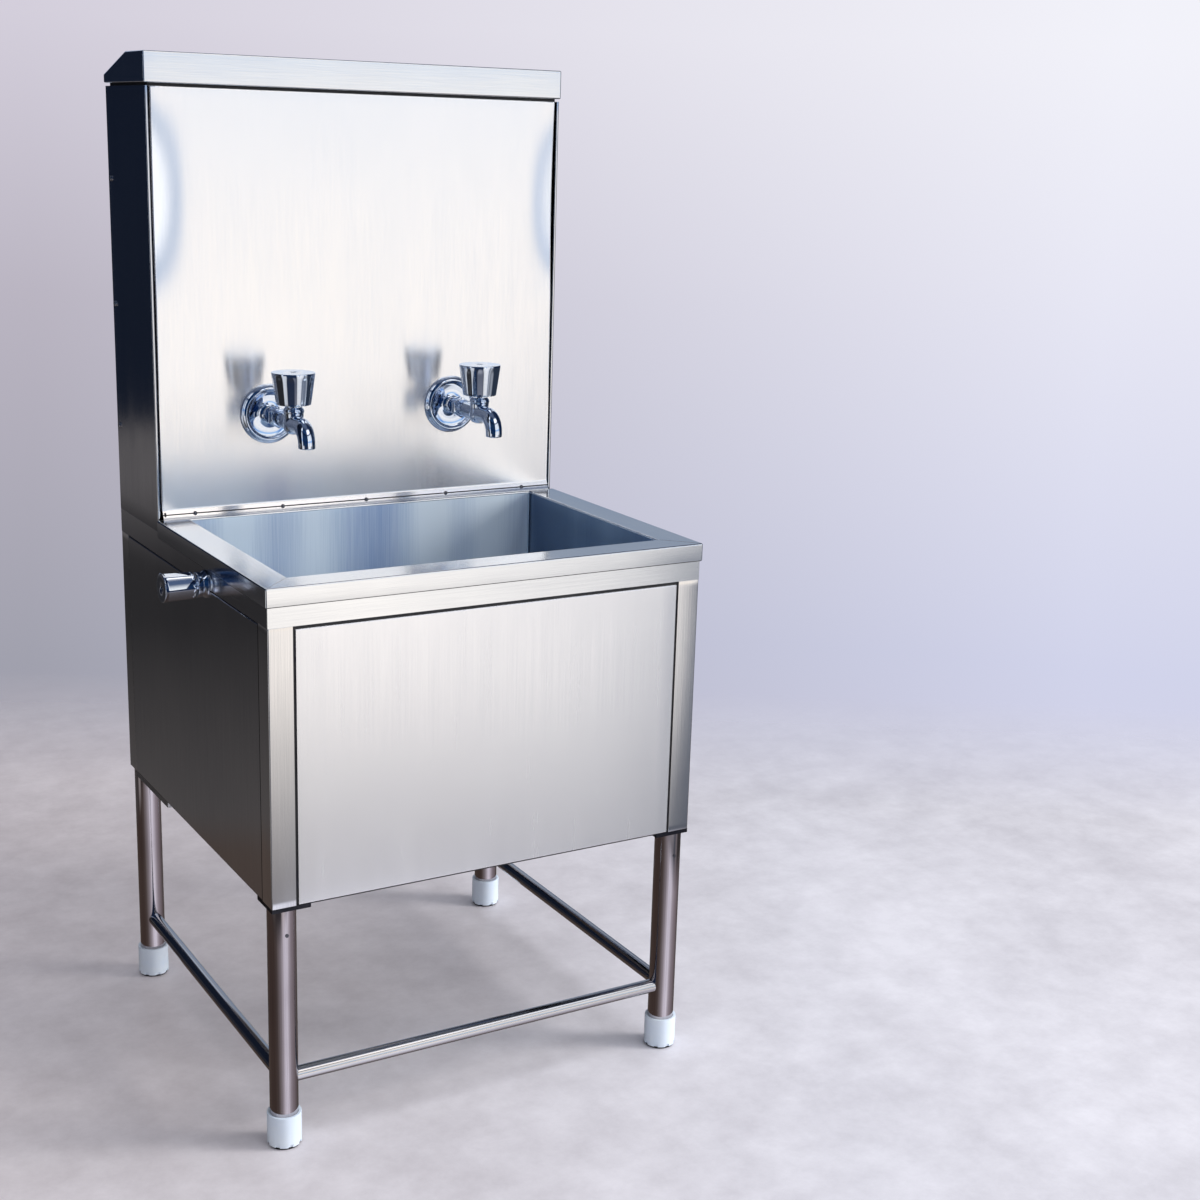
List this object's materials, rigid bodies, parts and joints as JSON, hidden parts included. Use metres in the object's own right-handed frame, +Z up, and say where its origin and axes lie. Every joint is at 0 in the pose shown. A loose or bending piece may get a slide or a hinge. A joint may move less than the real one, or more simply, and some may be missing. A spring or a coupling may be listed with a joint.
{
  "type": "handwash station",
  "caption": "Deep stainless sink in a skirted cabinet on tube legs, with a tall rear housing that carries bib taps and a side stopcock.",
  "frame": {"origin": "bottom centre of the whole object, on the floor", "axes": "+Z up, the basin side faces -Y, the stopcock points along -X"},
  "size_m": [0.698, 0.66, 1.408],
  "materials": {
    "leg_tube": "polished stainless tube with fine lengthwise grain",
    "foot_cap": "moulded white plastic, satin",
    "foot_pad": "black rubber",
    "dull_steel": "mill finish, dull",
    "screw": "satin",
    "polished_steel": "polished",
    "brushed_panel": "vertical brushed grain, satin",
    "rim_steel": "fine brushed grain along each side",
    "bowl_steel": "vertical grain on the walls",
    "sheet_steel": "brushed grain, satin",
    "seal": "black rubber",
    "white_plastic": "plain white",
    "rivet": "dark",
    "brass": "machined",
    "chrome": "polished chrome",
    "copper": "drawn copper, slightly dull"
  },
  "bodies": {
    "station": {"leg_front_left": "leg_tube", "leg_front_right": "leg_tube", "leg_rear_left": "leg_tube", "leg_rear_right": "leg_tube", "foot_caps": "foot_cap", "foot_pads": "foot_pad", "leg_plates": "dull_steel", "leg_set_screws": "screw", "stretcher_front": "polished_steel", "stretcher_left": "polished_steel", "stretcher_right": "polished_steel", "corner_posts": "sheet_steel", "rail_front": "sheet_steel", "rail_left": "sheet_steel", "rail_right": "sheet_steel", "rail_rear": "sheet_steel", "front_panel": "brushed_panel", "side_panel_left": "sheet_steel", "side_panel_right": "sheet_steel", "rear_panel": "sheet_steel", "panel_straps": "dull_steel", "service_tray": "dull_steel", "sink_rim": "rim_steel", "sink_bowl": "bowl_steel", "waste_strainer": "polished_steel", "waste_gasket": "seal", "waste_nut": "white_plastic", "bottle_trap": "white_plastic", "waste_pipe": "white_plastic", "splash_front_panel": "brushed_panel", "splash_side_left": "sheet_steel", "splash_side_right": "sheet_steel", "splash_back_cover": "sheet_steel", "cover_screws": "screw", "cap_seal": "seal", "splash_cap": "sheet_steel", "seam_rivets": "rivet", "tap_flange_left": "chrome", "tap_flange_right": "chrome", "tap_body_left": "chrome", "tap_body_right": "chrome", "tap_backnuts": "brass", "tap_cartridge_left": "brass", "tap_cartridge_right": "brass", "stopcock_body": "brass", "stopcock_flange": "chrome", "inlet_nipple": "brass", "inlet_pipe": "copper", "supply_pipe": "copper"},
    "tap_left_handle": {"tap_spindle_left": "chrome", "tap_knob_left": "chrome", "tap_knob_screw_left": "screw"},
    "tap_right_handle": {"tap_spindle_right": "chrome", "tap_knob_right": "chrome", "tap_knob_screw_right": "screw"},
    "stopcock_handle": {"stopcock_spindle": "chrome", "stopcock_knob": "chrome", "stopcock_knob_screw": "screw"}
  },
  "joints": [
    {"name": "tap_left_turn", "type": "hinge", "parent": "station", "child": "tap_left_handle", "pos_m": [-0.1215, 0.006, 0.95], "axis": [0, 0, 1], "range_deg": [0, 180]},
    {"name": "tap_right_turn", "type": "hinge", "parent": "station", "child": "tap_right_handle", "pos_m": [0.1685, 0.006, 0.95], "axis": [0, 0, 1], "range_deg": [0, 180]},
    {"name": "stopcock_turn", "type": "hinge", "parent": "station", "child": "stopcock_handle", "pos_m": [-0.3115, -0.097, 0.724], "axis": [-1, 0, 0], "range_deg": [0, 180]}
  ]
}
